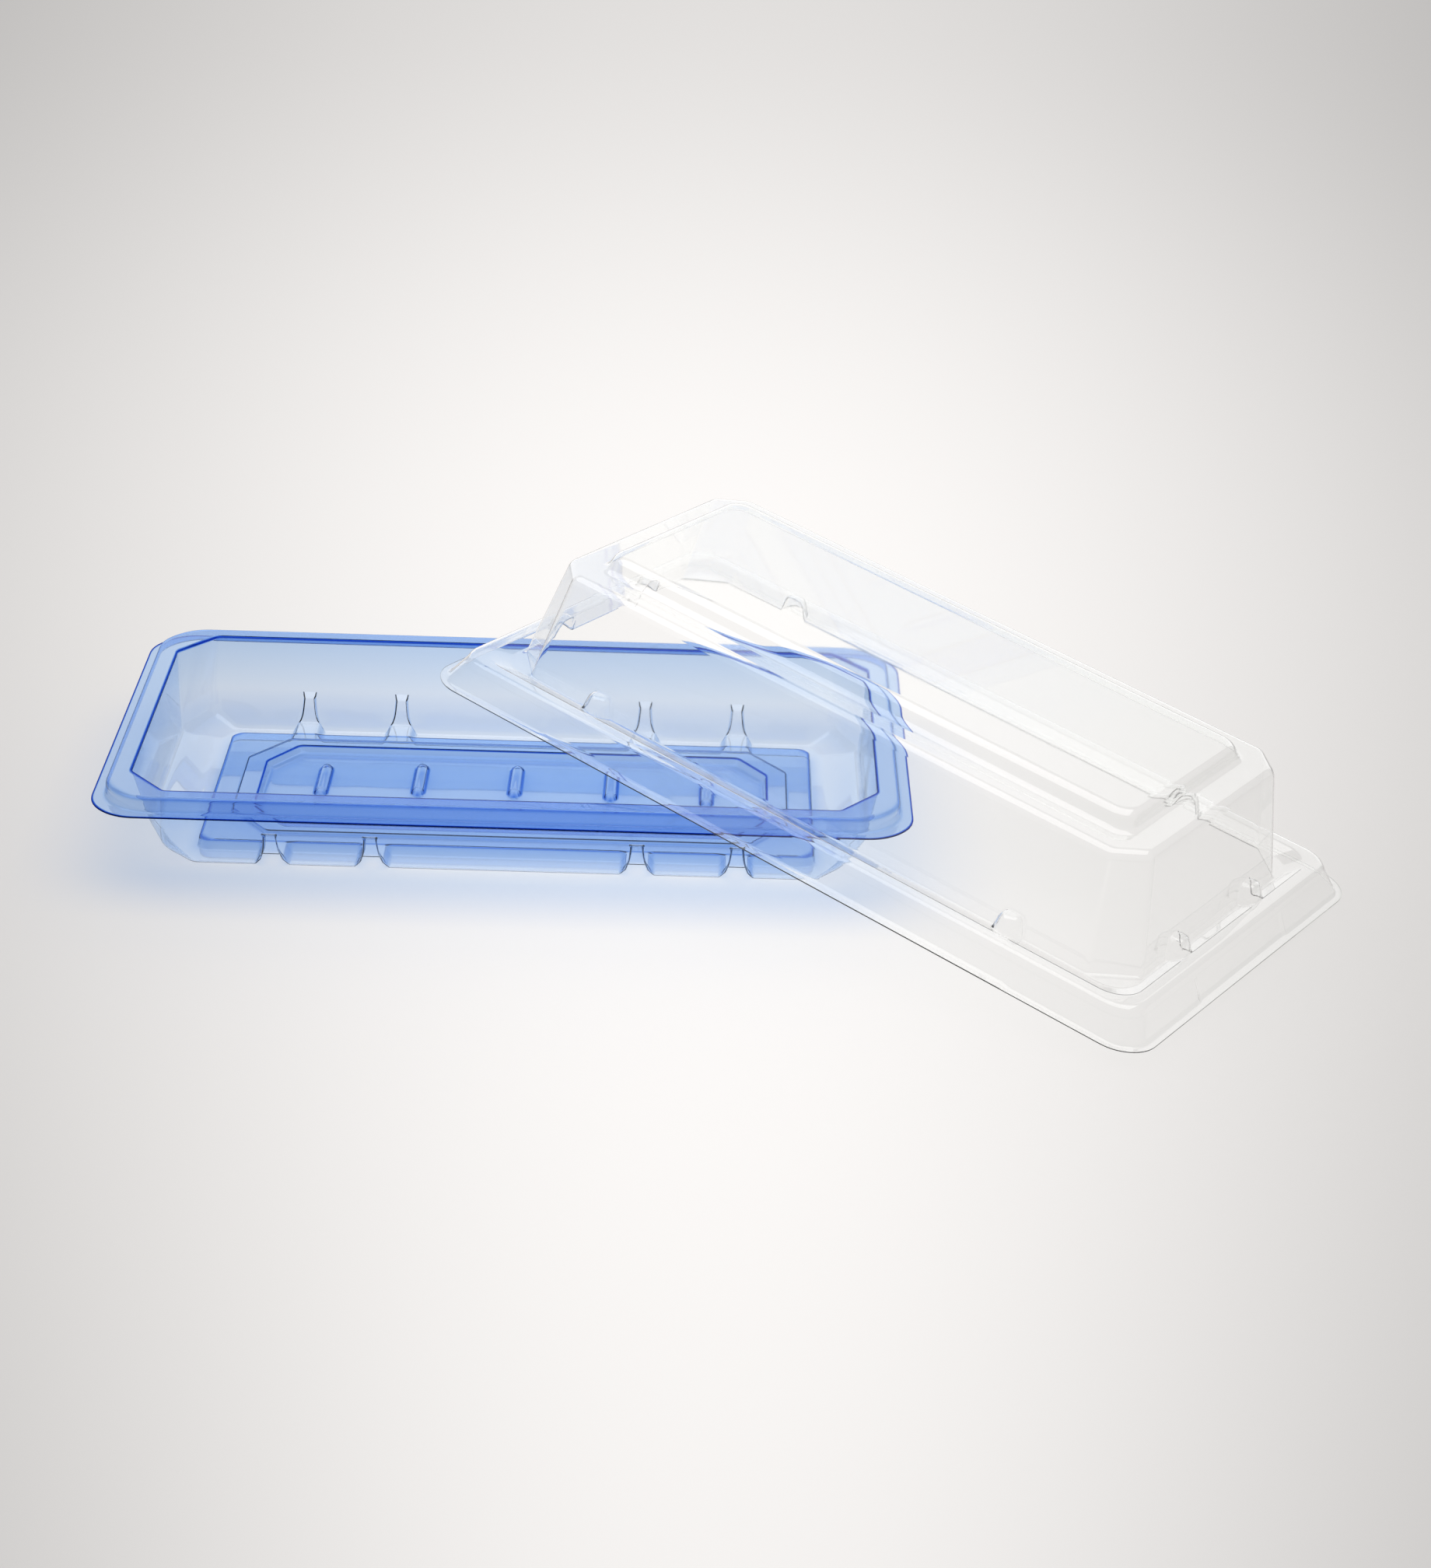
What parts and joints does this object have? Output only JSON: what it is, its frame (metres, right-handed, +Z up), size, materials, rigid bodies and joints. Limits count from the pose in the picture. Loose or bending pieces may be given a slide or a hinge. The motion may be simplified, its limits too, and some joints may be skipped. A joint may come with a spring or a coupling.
{
  "type": "sushi takeout tray",
  "caption": "Shallow blue-tinted plastic food tray with a ribbed floor and flat rim, its clear domed lid taken off and leaning across one end.",
  "frame": {"origin": "on the table, under the middle of the plan of the whole pack (tray and leaning lid)", "axes": "+X along the tray's length towards the lid, +Z up, +Y towards the tray's back long wall"},
  "size_m": [0.3384, 0.2256, 0.0776],
  "materials": {
    "blue_tinted_sheet": "see-through blue plastic sheet, glossy",
    "clear_sheet": "clear plastic sheet, glossy"
  },
  "bodies": {
    "root": {"base_tray": "blue_tinted_sheet", "lid": "clear_sheet"}
  },
  "joints": []
}
